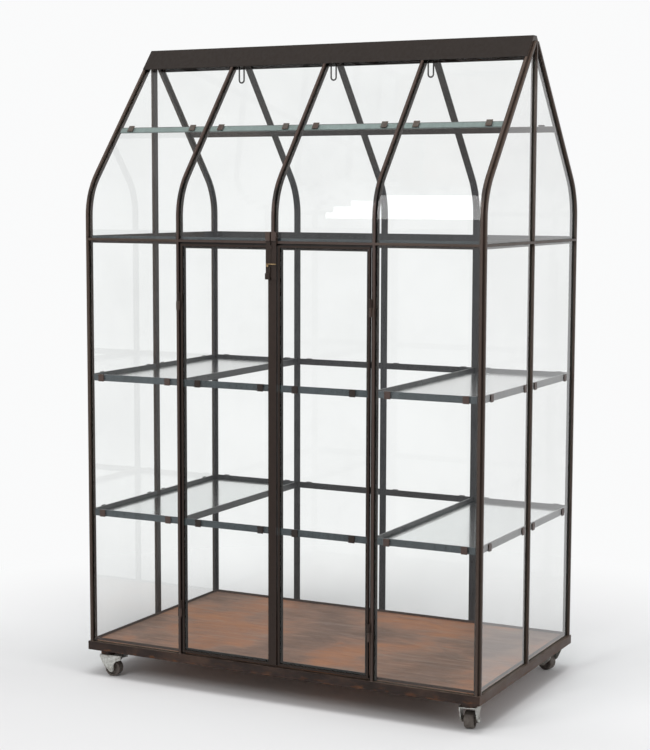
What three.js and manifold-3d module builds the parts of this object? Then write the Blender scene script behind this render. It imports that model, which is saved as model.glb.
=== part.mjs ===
// Greenhouse display cabinet: five bent T-bar hoops on a wheeled base, glazed all round, with two doors.
// Millimetres, +Z up, origin on the floor under the middle of the cabinet. The doors are on the -Y side.

import * as THREE from 'three';
import { mergeVertices } from 'three/addons/utils/BufferGeometryUtils.js';
import Module from 'manifold-3d';

const wasm = await Module();
wasm.setup();

// Cabinet
const bayWidth = 322;
const hoopDepth = 770;
const baseUnderside = 85;
const eaveHeight = 1362;
const shelfHeights = { lower: 519, upper: 939 };
const shoulderRise = 142;
const roofRiseShare = 1.2;
const shoulderRadius = 200;
const purlinAlongRafter = 259;

// T bar
const webThickness = 7;
const webDepth = 11;
const flangeThickness = 4;
const flangeWidth = 22;
const railHeight = 20;

// Fits
const seatGap = 0.3;
const weldBite = 1;
const glassEdgeGap = 1;

// Glass and clips
const glassThickness = 4;
const shelfGlassThickness = 6;
const clipWidth = 19;
const clipHeight = 22;
const clipPlate = 2;
const clipStudRadius = 2.5;
const clipHoleFit = 0.8;
const clipSides = 6;
const wallClipInset = 42;
const gableClipInset = 80;
const purlinClipInset = 50;

// Base
const baseOverhang = 1;
const baseHeight = 26.5;
const baseWall = 4;
const baseLedge = 30;
const cornerPlateSize = 88;
const trayThickness = 2;
const trayLip = 10.5;

// Shelf frames
const shelfLedge = 12;
const ledgeThickness = 3;
const shelfRailThickness = 5;

// Ridge
const capThickness = 2;
const capFlatWidth = 24;
const capHalfSpan = 63;
const capOverhang = 3;
const gablePeakDrop = 16;
const roofPaneTopGap = 26;
const loopWire = 5;
const loopWidth = 22;
const loopDrop = 100;

// Doors
const doorHingeGap = 7.5;
const doorBottomGap = 7;
const doorTopGap = 5.5;
const doorDepth = 10;
const doorEdge = 6.5;
const doorLip = 6.5;
const doorLipThickness = 3;
const doorClipInset = 55;
const meetingGap = 4;
const leftDoorPastCentre = 12.5;
const astragalWidth = 26;
const astragalThickness = 3;

// Hinges
const hingeRise = 142;
const hingeDrop = 179;
const barrelRadius = 4.5;
const knuckleLength = 25;
const knuckleGap = 0.6;
const hingePinRadius = 2;
const hingePinFit = 0.4;
const hingePinLength = 20;
const leafThickness = 3;
const leafWidth = 6;
const hingeAxisGap = 3.5;

// Latch
const stripWidth = 15;
const stripGap = 4;
const stripThickness = 3;
const latchCentre = -2;
const leftStripLength = 92;
const rightStripLength = 110;
const boltBridgeHeight = 12;
const boltTravel = 18;
const boltFit = 0.5;
const keeperHeight = 26;
const keeperWall = 3;
const keeperLead = 1;
const tabHeight = 18;
const tabThickness = 5;
const crossPinRadius = 1.8;
const crossPinHeight = 66;
const crossPinLength = 32;
const studRadius = 3.4;
const studLength = 4;
const guideHeadWidth = 8;
const guideHeadHeight = 12;
const guideHeadThickness = 1.5;

// Castors
const wheelRadius = 25.5;
const wheelWidth = 28;
const wheelRimInset = 1.5;
const wheelDishDepth = 5;
const wheelDishRadius = 19;
const hubRadius = 9;
const wheelSegments = 16;
const hubGap = 0.5;
const axleRadius = 4;
const axleFit = 0.4;
const axleNutRadius = 7;
const axleNutHeight = 4;
const axleHeadRise = 1;
const castorTrail = 20;
const castorInset = { x: 48, y: 40 };
const topPlateLength = 64;
const topPlateWidth = 52;
const topPlateThickness = 3;
const racewayRadius = 23;
const racewayHeight = 12;
const kingPinRadius = 5;
const kingPinFit = 0.5;
const kingNutRadius = 8.5;
const kingNutHeight = 4;
const forkOuterWidth = 50;
const forkSheet = 3;
const forkLead = 38;
const forkTail = 34;
const forkBossRadius = 9;
const forkBossSteps = 6;
const forkBossTurnShare = 0.7;
const cheekLeadEdge = [[-38, 37], [-24, 10], [-11, -1]];
const cheekTailEdge = [[34, 31], [17, 25], [10, 18], [8.5, 8]];
const plateBoltRadius = 4;
const plateBoltHead = 3;
const castorAngles = { front_left: 7, front_right: 100, back_left: -11.5, back_right: 165 };
const brakedCastors = ['front_left', 'back_right'];
const pedalLength = 19;
const pedalWidth = 30;
const pedalTip = 2;
const pedalHinge = 3;
const pedalRise = 7;

// Worked out from the sizes above
const halfDepth = hoopDepth / 2;
const endX = 2 * bayWidth;
const baseTop = baseUnderside + baseHeight;
const shoulderCrossHeight = eaveHeight + shoulderRise;
const hingeHeights = { lower: baseTop + hingeRise, upper: eaveHeight - hingeDrop };
const footHeight = baseTop + seatGap;
const pitch = Math.atan(roofRiseShare);
const flangeIn = webDepth + flangeThickness;
const halfFlange = flangeWidth / 2;
const halfWeb = webThickness / 2;
const gableWebMiddle = webDepth + flangeThickness / 2;
const gableWebIn = { outer: gableWebMiddle - halfWeb, inner: gableWebMiddle + halfWeb };
const gableFlangeInner = gableWebMiddle + halfFlange;
const gableReach = endX + webDepth;
const glassIn = { outer: webDepth - seatGap - glassThickness, inner: webDepth - seatGap };
const capInnerHeight = ridgeHeight(-seatGap) - roofRiseShare * capFlatWidth / 2;
const hoopTop = capInnerHeight - seatGap;
const apexAlongRafter = halfDepth / Math.cos(pitch);
const base = { x: gableReach + baseOverhang, y: halfDepth + baseOverhang };
const castorX = base.x - castorInset.x;
const castorY = base.y - castorInset.y;

// Materials
const paint = (color, roughness, metalness) => new THREE.MeshStandardMaterial({ color, roughness, metalness });
const steel = paint(0x3f3632, 0.55, 0.6);
const steelBrown = paint(0x453733, 0.6, 0.5);
const clipSteel = paint(0x5c4a43, 0.65, 0.4);
const rust = paint(0x8d6b57, 0.75, 0.3);
const zinc = paint(0xb4b6b0, 0.35, 0.9);
const brass = paint(0x8c7a5c, 0.35, 0.9);
const blackPlastic = paint(0x1c1b1b, 0.5, 0);
const tread = paint(0x4b423c, 0.6, 0);
const glass = new THREE.MeshStandardMaterial({
  color: 0xe9efed, roughness: 0.05, transparent: true, opacity: 0.25,
});

const cabinet = new THREE.Group();

// Solids and booleans

function solid(geometry) {
  const bare = geometry.index ? geometry : geometry.clone();
  bare.deleteAttribute('normal');
  bare.deleteAttribute('uv');
  const merged = mergeVertices(bare, 1e-4);
  const mesh = new wasm.Mesh({
    numProp: 3,
    vertProperties: new Float32Array(merged.attributes.position.array),
    triVerts: new Uint32Array(merged.index.array),
  });
  return new wasm.Manifold(mesh);
}

function unite(solids) {
  return solids.reduce((sum, next) => sum.add(next));
}

function add(name, material, ...solids) {
  const mesh = unite(solids).getMesh();
  const geometry = new THREE.BufferGeometry();
  geometry.setAttribute('position', new THREE.BufferAttribute(mesh.vertProperties.slice(), 3));
  geometry.setIndex(new THREE.BufferAttribute(mesh.triVerts.slice(), 1));
  geometry.computeVertexNormals();
  const node = new THREE.Mesh(geometry, material);
  node.name = name;
  cabinet.add(node);
}

function placed(geometry, matrix) {
  return solid(geometry.applyMatrix4(matrix));
}

const axisX = new THREE.Vector3(1, 0, 0);
const axisY = new THREE.Vector3(0, 1, 0);
const axisZ = new THREE.Vector3(0, 0, 1);

function prism(points, from, to, across, up, along) {
  const shape = new THREE.Shape(points.map(([a, b]) => new THREE.Vector2(a, b)));
  const depth = Math.abs(to - from);
  const geometry = new THREE.ExtrudeGeometry(shape, { depth, bevelEnabled: false });
  const matrix = new THREE.Matrix4().makeBasis(across, up, along);
  return placed(geometry, matrix.setPosition(along.clone().multiplyScalar(Math.min(from, to))));
}

// Outline of [y, z] points pushed along X
function prismX(points, x0, x1) {
  return prism(points, x0, x1, axisY, axisZ, axisX);
}

// Outline of [x, z] points pushed along Y, whose own axis runs backwards
function prismY(points, y0, y1) {
  return prism(points, -y0, -y1, axisX, axisZ, axisY.clone().negate());
}

// Outline of [x, y] points pushed along Z
function prismZ(points, z0, z1) {
  return prism(points, z0, z1, axisX, axisY, axisZ);
}

function box(x0, x1, y0, y1, z0, z1) {
  const geometry = new THREE.BoxGeometry(Math.abs(x1 - x0), Math.abs(y1 - y0), Math.abs(z1 - z0));
  geometry.translate((x0 + x1) / 2, (y0 + y1) / 2, (z0 + z1) / 2);
  return solid(geometry);
}

// Revolved [radius, height] outline, closed on itself, about the Y axis
function lathe(points, segments) {
  const outline = points.map(([radius, height]) => new THREE.Vector2(radius, height));
  if (THREE.ShapeUtils.area(outline) < 0) outline.reverse();
  return new THREE.LatheGeometry([...outline, outline[0]], segments);
}

// The same about the vertical through (x, y)
function turned(points, segments, x, y, z) {
  const geometry = lathe(points, segments);
  geometry.rotateX(Math.PI / 2);
  geometry.translate(x, y, z);
  return solid(geometry);
}

function pinZ(radius, segments, x, y, z0, z1) {
  return turned([[0, z0], [radius, z0], [radius, z1], [0, z1]], segments, x, y, 0);
}

function pinX(radius, segments, x0, x1, y, z) {
  const geometry = new THREE.CylinderGeometry(radius, radius, Math.abs(x1 - x0), segments);
  geometry.rotateZ(Math.PI / 2);
  geometry.translate((x0 + x1) / 2, y, z);
  return solid(geometry);
}

// A path through given points, with a step at each
class PointPath extends THREE.Curve {
  constructor(points) {
    super();
    this.points = points;
  }

  getPoint(share) {
    const place = share * (this.points.length - 1);
    const index = Math.min(Math.floor(place), this.points.length - 2);
    return this.points[index].clone().lerp(this.points[index + 1], place - index);
  }

  getUtoTmapping(share) {
    return share;
  }
}

// Round wire bent through points
function wire(points, radius) {
  const sides = 8;
  const rim = Array.from({ length: sides }, (_, side) => {
    const angle = 2 * Math.PI * side / sides;
    return new THREE.Vector2(radius * Math.cos(angle), radius * Math.sin(angle));
  });
  const options = { steps: points.length - 1, bevelEnabled: false, extrudePath: new PointPath(points) };
  return solid(new THREE.ExtrudeGeometry(new THREE.Shape(rim), options));
}

function mirroredPair(make) {
  return [-1, 1].flatMap((side) => make(side));
}

// Hoop outlines

function ridgeHeight(inset) {
  return shoulderCrossHeight + roofRiseShare * halfDepth - inset / Math.cos(pitch);
}

// A point on the front rafter: distance up from the shoulder crossing, inset square to it
function rafterPoint(along, inset) {
  return [
    -halfDepth + along * Math.cos(pitch) + inset * Math.sin(pitch),
    shoulderCrossHeight + along * Math.sin(pitch) - inset * Math.cos(pitch),
  ];
}

// The bend of the front shoulder at an inset, from the post up to the rafter
function shoulderArc(inset) {
  const steps = 8;
  const turn = Math.PI / 2 - pitch;
  const bendStart = shoulderCrossHeight - shoulderRadius * Math.tan(turn / 2);
  return Array.from({ length: steps + 1 }, (_, step) => {
    const angle = turn * step / steps;
    const radius = shoulderRadius - inset;
    return [-halfDepth + shoulderRadius - radius * Math.cos(angle), bendStart + radius * Math.sin(angle)];
  });
}

function halfHoop(inset, foot, top) {
  const peak = ridgeHeight(inset);
  const end = peak > top ? [-(peak - top) / roofRiseShare, top] : [0, peak];
  return [[-halfDepth + inset, foot], ...shoulderArc(inset), end];
}

const mirrorY = (points) => points.map(([y, z]) => [-y, z]).reverse();

function hoopLine(inset, frontFoot, backFoot, top) {
  const front = halfHoop(inset, frontFoot, top);
  const back = mirrorY(halfHoop(inset, backFoot, top));
  const peaked = front[front.length - 1][0] === 0;
  return peaked ? [...front, ...back.slice(1)] : [...front, ...back];
}

// A hoop of flat stock between two insets
function band(outer, inner, x0, x1, frontFoot, top) {
  const outline = hoopLine(outer, frontFoot, footHeight, top);
  const inside = hoopLine(inner, frontFoot, footHeight, top);
  return prismX([...outline, ...inside.reverse()], x0, x1);
}

// Floor tray with its edges turned up behind the glass
const trayX = endX - flangeThickness - seatGap;
const trayY = halfDepth - flangeIn - seatGap;
const trayUnderside = baseTop + seatGap;

function floorTray() {
  const sheet = box(-trayX, trayX, -trayY, trayY, trayUnderside, trayUnderside + trayLip);
  const floor = { x: trayX - trayThickness, y: trayY - trayThickness };
  const hollow = box(
    -floor.x, floor.x, -floor.y, floor.y,
    trayUnderside + trayThickness, trayUnderside + trayLip + weldBite,
  );
  return sheet.subtract(hollow);
}

add('floor_tray', rust, floorTray());

// Hoops: plain T bar in the middle, and at the ends a second T turned outwards for the gable glass
function plainHoop(x, frontFoot) {
  return unite([
    band(0, webDepth + weldBite, x - halfWeb, x + halfWeb, frontFoot, hoopTop),
    band(webDepth, flangeIn, x - halfFlange, x + halfFlange, frontFoot, hoopTop),
  ]);
}

function endHoop(side) {
  const gableWeb = [side * (endX - weldBite), side * gableReach];
  const peak = ridgeHeight(gableWebIn.outer);
  const tip = box(
    side * (endX + halfWeb), side * (gableReach + weldBite), -halfFlange, halfFlange, peak - gablePeakDrop, peak,
  );
  return unite([
    band(gableWebIn.outer, gableWebIn.inner, ...gableWeb, footHeight, peak).subtract(tip),
    band(0, webDepth + weldBite, side * (endX - halfWeb), side * (endX + halfWeb), footHeight, hoopTop),
    band(webDepth, flangeIn, side * (endX - halfFlange), side * endX, footHeight, hoopTop),
    band(
      flangeIn - weldBite, gableFlangeInner, side * (endX - flangeThickness), side * endX, footHeight, hoopTop,
    ),
  ]);
}

// Gable posts, their heads cut to the pitch of the roof
function gablePost(side) {
  const head = (halfWidth, inset) => {
    const peak = ridgeHeight(inset + seatGap);
    const shoulder = peak - roofRiseShare * halfWidth;
    return [
      [-halfWidth, footHeight], [halfWidth, footHeight],
      [halfWidth, shoulder], [0, peak], [-halfWidth, shoulder],
    ];
  };
  return unite([
    prismX(head(halfFlange, gableFlangeInner), side * (endX - flangeThickness), side * endX),
    prismX(head(halfWeb, gableFlangeInner), side * (endX - weldBite), side * gableReach),
    prismX(head(halfWeb, gableWebIn.inner), side * (endX + seatGap), side * gableReach),
  ]);
}

add('gable_post_left', steel, gablePost(-1));
add('gable_post_right', steel, gablePost(1));

// Clips: a plate outside the glass with a stud through a hole in the pane, welded to the rail behind.
// A place is the point on the rail's outer face, with its local y pointing out and its local z up the glass.
function clipPlace(point, outward, up) {
  const across = new THREE.Vector3().crossVectors(outward, up);
  return new THREE.Matrix4().makeBasis(across, outward, up).setPosition(point);
}

const clipReach = seatGap + glassThickness + seatGap;

function clip(place) {
  const plate = new THREE.BoxGeometry(clipWidth, clipPlate, clipHeight);
  plate.translate(0, clipReach + clipPlate / 2, 0);
  const studLength = weldBite + clipReach + clipPlate / 2;
  const stud = new THREE.CylinderGeometry(clipStudRadius, clipStudRadius, studLength, clipSides);
  stud.translate(0, studLength / 2 - weldBite, 0);
  return placed(plate, place).add(placed(stud, place));
}

function clipHole(place) {
  const radius = clipStudRadius + clipHoleFit;
  const hole = new THREE.CylinderGeometry(radius, radius, 2 * clipReach, clipSides);
  hole.translate(0, clipReach / 2, 0);
  return placed(hole, place);
}

const drilled = (pane, places) => places.reduce((rest, place) => rest.subtract(clipHole(place)), pane);

const levels = Object.values(shelfHeights);
const railFace = halfDepth - webDepth;

function longWallClips(side, first) {
  const outward = axisY.clone().multiplyScalar(side);
  return [first * bayWidth + wallClipInset, (first + 1) * bayWidth - wallClipInset]
    .map((x) => (level) => clipPlace(new THREE.Vector3(x, side * railFace, level), outward, axisZ));
}

function gableClips(sideX, sideY) {
  const outward = axisX.clone().multiplyScalar(sideX);
  return [wallClipInset, halfDepth - gableClipInset]
    .map((y) => (level) => clipPlace(new THREE.Vector3(sideX * endX, sideY * y, level), outward, axisZ));
}

function roofClips(side, first) {
  const outward = new THREE.Vector3(0, side * Math.sin(pitch), Math.cos(pitch));
  const up = new THREE.Vector3(0, -side * Math.cos(pitch), Math.sin(pitch));
  const [y, z] = rafterPoint(purlinAlongRafter, webDepth);
  return [first * bayWidth + purlinClipInset, (first + 1) * bayWidth - purlinClipInset]
    .map((x) => clipPlace(new THREE.Vector3(x, -side * y, z), outward, up));
}

// Rails between the uprights. Each is welded to the hoop or post that carries it and stops just short of the next.
const eaveWebTop = eaveHeight + halfWeb;
const eaveFlangeTop = eaveHeight + halfFlange;
const railEnd = (welded) => (welded ? -weldBite : seatGap);

// Where a rail of a bay starts and ends, for stock in the flange plane and in the web plane
function baySpans(first, last, weldedTo) {
  const startGap = railEnd(weldedTo === first);
  const endGap = railEnd(weldedTo === last);
  return {
    flange: [first * bayWidth + halfFlange + startGap, last * bayWidth - halfFlange - endGap],
    web: [first * bayWidth + halfWeb + startGap, last * bayWidth - halfWeb - endGap],
  };
}

// T bar along the front or back, web outwards
function longEaveRail(side, spans) {
  const flange = [side * railFace, side * (railFace - flangeThickness)];
  const web = [eaveHeight - halfWeb, eaveWebTop];
  return unite([
    box(...spans.flange, ...flange, eaveHeight - halfFlange, eaveFlangeTop),
    box(...spans.flange, side * halfDepth, side * (railFace - weldBite), ...web),
    box(...spans.web, side * halfDepth, side * (railFace + seatGap), ...web),
  ]);
}

// T bar along a gable, from the end hoop to just short of the post
function gableEaveRail(sideX, sideY) {
  const flangeEnd = sideY * (halfDepth - gableFlangeInner + weldBite);
  const webEnd = sideY * (halfDepth - gableWebIn.inner + weldBite);
  const postFlange = sideY * (halfFlange + seatGap);
  const postWeb = sideY * (halfWeb + seatGap);
  return unite([
    box(
      sideX * (endX - flangeThickness), sideX * endX, postFlange, flangeEnd,
      eaveHeight - halfFlange, eaveFlangeTop,
    ),
    box(sideX * (endX - weldBite), sideX * gableReach, postFlange, flangeEnd, eaveHeight - halfWeb, eaveWebTop),
    box(sideX * (endX + seatGap), sideX * gableReach, postWeb, webEnd, eaveHeight - halfWeb, eaveWebTop),
  ]);
}

function slopeStrip(side, from, to, outer, inner, x0, x1) {
  const corners = [
    rafterPoint(from, outer), rafterPoint(to, outer), rafterPoint(to, inner), rafterPoint(from, inner),
  ];
  return prismX(corners.map(([y, z]) => [-side * y, z]), x0, x1);
}

// A purlin of flat bar in the flange plane, with its clips
function purlin(side, first, spans) {
  const half = railHeight / 2;
  const bar = slopeStrip(
    side, purlinAlongRafter - half, purlinAlongRafter + half, webDepth, flangeIn, ...spans.flange,
  );
  return unite([bar, ...roofClips(side, first).map(clip)]);
}

// Everything that an outer bay's hoop carries across to its neighbour
function bayRails(first, weldedTo) {
  const spans = baySpans(first, first + 1, weldedTo);
  return [longEaveRail(1, spans), ...mirroredPair((side) => [purlin(side, first, spans)])];
}

// Plain rails across the back of the middle bays, with their clips
function backRails(first, weldedTo) {
  const spans = baySpans(first, first + 1, weldedTo);
  return levels.flatMap((level) => [
    box(...spans.flange, halfDepth - flangeIn, railFace, level - railHeight / 2, level + railHeight / 2),
    ...longWallClips(1, first).map((place) => clip(place(level))),
  ]);
}

// Hanging loops bent from wire, welded under the three middle hoops
function hangingLoop(x) {
  const arm = (loopWidth - loopWire) / 2;
  const top = ridgeHeight(flangeIn);
  const bendHeight = top - loopDrop + loopWire / 2 + arm;
  const bendSteps = 10;
  const bend = Array.from({ length: bendSteps + 1 }, (_, step) => {
    const angle = Math.PI * step / bendSteps;
    return new THREE.Vector3(x - arm * Math.cos(angle), 0, bendHeight - arm * Math.sin(angle));
  });
  return wire([new THREE.Vector3(x - arm, 0, top), ...bend, new THREE.Vector3(x + arm, 0, top)], loopWire / 2);
}

// Lift-off hinges: a pintle on each door hoop, a knuckle on the door
const doorFront = -halfDepth;
const hingeX = bayWidth - halfWeb - hingeAxisGap;
const hingeY = doorFront - barrelRadius;
const roundSegments = 12;

// A leaf in front of the hoop or door, let into it by a weld
function hingeLeaf(side, from, to, z0, z1) {
  return box(side * from, side * to, doorFront - leafThickness, doorFront + weldBite / 2, z0, z1);
}

function pintle(side, height) {
  const z0 = height - knuckleLength - knuckleGap / 2;
  const z1 = height - knuckleGap / 2;
  return unite([
    pinZ(barrelRadius, roundSegments, side * hingeX, hingeY, z0, z1),
    pinZ(hingePinRadius, roundSegments, side * hingeX, hingeY, z1 - weldBite, z1 + hingePinLength - hingePinFit),
    hingeLeaf(side, hingeX + hingeAxisGap + hingePinFit, bayWidth + halfWeb, z0, z1),
    box(
      side * hingeX, side * bayWidth, doorFront - leafThickness, doorFront - seatGap, z0, z1,
    ),
  ]);
}

const hingeLevels = Object.values(hingeHeights);

// The frame: end hoops with the rails of the outer bays and the gable eaves, door hoops with their pintles,
// and the middle hoop, which starts above the front eave, with the rails of the middle bays
function endFrame(side) {
  const first = side < 0 ? -2 : 1;
  const spans = baySpans(first, first + 1, 2 * side);
  return unite([
    endHoop(side), ...bayRails(first, 2 * side), longEaveRail(-1, spans),
    gableEaveRail(side, -1), gableEaveRail(side, 1),
  ]);
}

function doorHoop(side) {
  const x = side * bayWidth;
  return unite([plainHoop(x, footHeight), hangingLoop(x), ...hingeLevels.map((height) => pintle(side, height))]);
}

function middleFrame() {
  const webFoot = box(
    -halfWeb, halfWeb, -halfDepth, -railFace - seatGap, eaveWebTop + seatGap, eaveFlangeTop + seatGap + weldBite,
  );
  return unite([
    plainHoop(0, eaveFlangeTop + seatGap), webFoot, hangingLoop(0),
    ...bayRails(-1, 0), ...bayRails(0, 0), ...backRails(-1, 0), ...backRails(0, 0),
  ]);
}

add('left_end_frame', steel, endFrame(-1));
add('left_door_hoop', steel, doorHoop(-1));
add('middle_frame', steel, middleFrame());
add('right_door_hoop', steel, doorHoop(1));
add('right_end_frame', steel, endFrame(1));
add('front_eave_rail', steel, longEaveRail(-1, baySpans(-1, 1)));

// Shelf frames of the end bays: upright rails between the posts, welded to a ledge that runs inside them
function shelfFrame(side, height) {
  const top = height + railHeight / 2;
  const bottom = height - railHeight / 2;
  const outer = { x: trayX, y: trayY };
  const innerX = bayWidth - shelfRailThickness / 2;
  const ring = box(side * innerX, side * outer.x, -outer.y, outer.y, bottom, bottom + ledgeThickness);
  const hole = box(
    side * (innerX + shelfRailThickness + shelfLedge), side * (outer.x - shelfLedge),
    -outer.y + shelfLedge, outer.y - shelfLedge, bottom - weldBite, bottom + ledgeThickness + weldBite,
  );
  const longRails = mirroredPair((sideY) => [
    box(
      side * (bayWidth + halfFlange + seatGap), side * (endX - halfFlange - seatGap),
      sideY * railFace, sideY * (railFace - shelfRailThickness), bottom, top,
    ),
  ]);
  const gableRails = mirroredPair((sideY) => [
    box(
      side * endX, side * (endX - shelfRailThickness),
      sideY * (halfFlange + seatGap), sideY * (halfDepth - gableFlangeInner - seatGap), bottom, top,
    ),
  ]);
  const crossRail = box(side * innerX, side * (innerX + shelfRailThickness), -outer.y, outer.y, bottom, top);
  const first = side < 0 ? -2 : 1;
  const clips = mirroredPair((sideY) => [...longWallClips(sideY, first), ...gableClips(side, sideY)])
    .map((place) => clip(place(height)));
  return unite([ring.subtract(hole), ...longRails, ...gableRails, crossRail, ...clips]);
}

// A glass shelf lying on the ledges of its frame
function shelfGlass(side, height) {
  const seat = height - railHeight / 2 + ledgeThickness + seatGap;
  const innerX = bayWidth + shelfRailThickness / 2 + glassEdgeGap;
  const outerX = endX - shelfRailThickness - glassEdgeGap;
  const outerY = halfDepth - webDepth - shelfRailThickness - glassEdgeGap;
  return box(side * innerX, side * outerX, -outerY, outerY, seat, seat + shelfGlassThickness);
}

for (const [level, height] of Object.entries(shelfHeights)) {
  for (const [sideName, side] of [['left', -1], ['right', 1]]) {
    add(`${level}_${sideName}_shelf_frame`, steel, shelfFrame(side, height));
    add(`${level}_${sideName}_shelf_glass`, glass, shelfGlass(side, height));
  }
}

// Ridge cap, one folded sheet with a flat top
function ridgeCap() {
  const slopeFoot = (inset) => ridgeHeight(inset) - roofRiseShare * capHalfSpan;
  const outerInset = -seatGap - capThickness;
  const outerTop = capInnerHeight + capThickness;
  const outerFlat = (ridgeHeight(outerInset) - outerTop) / roofRiseShare;
  const rightSide = [
    [outerFlat, outerTop], [capHalfSpan, slopeFoot(outerInset)],
    [capHalfSpan, slopeFoot(-seatGap)], [capFlatWidth / 2, capInnerHeight],
  ];
  const leftSide = rightSide.map(([y, z]) => [-y, z]).reverse();
  const reach = endX + capOverhang;
  return prismX([...rightSide, ...leftSide], -reach, reach);
}

add('ridge_cap', steelBrown, ridgeCap());

// Glazing: one sheet to a bay, drilled for the clips
const wallGlass = [baseTop + glassEdgeGap, eaveHeight - halfWeb - glassEdgeGap];
const paneSpan = (first) => {
  const startWeb = halfWeb + glassEdgeGap;
  return [first * bayWidth + startWeb, (first + 1) * bayWidth - startWeb];
};

function longWallPane(side, first) {
  const planes = [side * (halfDepth - glassIn.outer), side * (halfDepth - glassIn.inner)];
  const places = longWallClips(side, first).flatMap((place) => levels.map(place));
  return drilled(box(...paneSpan(first), ...planes, ...wallGlass), places);
}

add('front_pane_left', glass, longWallPane(-1, -2));
add('front_pane_right', glass, longWallPane(-1, 1));

// Gable glazing: a sheet under the eave on each side of the post, and a head pane cut to the shoulder and the rafter
const gablePlanes = (sideX) => [sideX * (endX + seatGap), sideX * (endX + seatGap + glassThickness)];
const gableEdge = gableWebIn.inner + glassEdgeGap;
const postEdge = halfWeb + glassEdgeGap;

function gablePane(sideX, sideY) {
  const sheet = box(...gablePlanes(sideX), sideY * postEdge, sideY * (halfDepth - gableEdge), ...wallGlass);
  return drilled(sheet, gableClips(sideX, sideY).flatMap((place) => levels.map(place)));
}

function gableHeadPane(sideX, sideY) {
  const bottom = eaveWebTop + glassEdgeGap;
  const peak = ridgeHeight(gableEdge) - roofRiseShare * postEdge;
  const outline = [
    [-postEdge, bottom], [-halfDepth + gableEdge, bottom], ...shoulderArc(gableEdge), [-postEdge, peak],
  ];
  return prismX(outline.map(([y, z]) => [-sideY * y, z]), ...gablePlanes(sideX));
}

for (const [nameX, sideX] of [['left', -1], ['right', 1]]) {
  for (const [nameY, sideY] of [['front', -1], ['back', 1]]) {
    add(`${nameX}_gable_pane_${nameY}`, glass, gablePane(sideX, sideY));
    add(`${nameX}_gable_head_${nameY}`, glass, gableHeadPane(sideX, sideY));
  }
}

// Bent roof panes, from the eave round the shoulder to the ridge
function roofPane(side, first) {
  const foot = eaveWebTop + glassEdgeGap;
  const head = apexAlongRafter - roofPaneTopGap;
  const line = (inset) => [[-halfDepth + inset, foot], ...shoulderArc(inset), rafterPoint(head, inset)];
  const outline = [...line(glassIn.outer), ...line(glassIn.inner).reverse()];
  const sheet = prismX(outline.map(([y, z]) => [-side * y, z]), ...paneSpan(first));
  return drilled(sheet, roofClips(side, first));
}

[-2, -1, 0, 1].forEach((first, index) => {
  add(`back_pane_${index + 1}`, glass, longWallPane(1, first));
  add(`front_roof_pane_${index + 1}`, glass, roofPane(-1, first));
  add(`back_roof_pane_${index + 1}`, glass, roofPane(1, first));
});

// Doors. Each is a frame of angle, its front edge narrow, with a lip behind the glass and bars at the shelf levels
const doorBack = doorFront + doorDepth;
const lipFront = doorBack - doorLipThickness;
const doorOuterX = bayWidth - halfWeb - doorHingeGap;
const doorHeights = [baseTop + doorBottomGap, eaveHeight - halfWeb - doorTopGap];
const rightDoorStart = leftDoorPastCentre + meetingGap;
const doors = {
  left: { side: -1, span: [-doorOuterX, leftDoorPastCentre] },
  right: { side: 1, span: [rightDoorStart, doorOuterX] },
};

function doorFrame({ span: [x0, x1] }) {
  const [z0, z1] = doorHeights;
  const inEdge = doorEdge;
  const inLip = doorEdge + doorLip;
  const block = box(x0, x1, doorFront, doorBack, z0, z1);
  const rebate = box(x0 + inEdge, x1 - inEdge, doorFront - weldBite, lipFront, z0 + inEdge, z1 - inEdge);
  const opening = box(x0 + inLip, x1 - inLip, doorFront, doorBack + weldBite, z0 + inLip, z1 - inLip);
  const bars = levels.map((level) => box(
    x0 + doorEdge, x1 - doorEdge, lipFront, doorBack, level - railHeight / 2, level + railHeight / 2,
  ));
  return unite([block.subtract(rebate).subtract(opening), ...bars]);
}

const doorGlass = { front: lipFront - seatGap - glassThickness, back: lipFront - seatGap };

function doorClips({ span: [x0, x1] }) {
  const outward = axisY.clone().negate();
  return levels.flatMap((level) => [x0 + doorClipInset, x1 - doorClipInset]
    .map((x) => clipPlace(new THREE.Vector3(x, lipFront, level), outward, axisZ)));
}

function doorPane(door) {
  const edge = doorEdge + glassEdgeGap;
  const [x0, x1] = door.span;
  const sheet = box(
    x0 + edge, x1 - edge, doorGlass.front, doorGlass.back, doorHeights[0] + edge, doorHeights[1] - edge,
  );
  return drilled(sheet, doorClips(door));
}

function doorKnuckle(side, height) {
  const z0 = height + knuckleGap / 2;
  const z1 = z0 + knuckleLength;
  const bore = hingePinRadius + hingePinFit;
  const boreTop = z0 + hingePinLength;
  const barrel = turned(
    [[0, z1], [0, boreTop], [bore, boreTop], [bore, z0], [barrelRadius, z0], [barrelRadius, z1]],
    roundSegments, side * hingeX, hingeY, 0,
  );
  const leafStart = hingeX - bore - hingePinFit;
  const bridge = box(side * leafStart, side * doorOuterX, doorFront - leafThickness, doorFront - seatGap, z0, z1);
  return unite([barrel, bridge, hingeLeaf(side, doorOuterX, doorOuterX - leafWidth, z0, z1)]);
}

for (const [name, door] of Object.entries(doors)) {
  const knuckles = hingeLevels.map((height) => doorKnuckle(door.side, height));
  add(`${name}_door_frame`, steel, doorFrame(door), ...doorClips(door).map(clip), ...knuckles);
  add(`${name}_door_pane`, glass, doorPane(door));
}

// Meeting bar on the left door
const astragalBack = doorFront - seatGap;
const astragalFront = astragalBack - astragalThickness;
const astragalSpan = [leftDoorPastCentre + weldBite / 2 - astragalWidth, leftDoorPastCentre + weldBite / 2];

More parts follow.
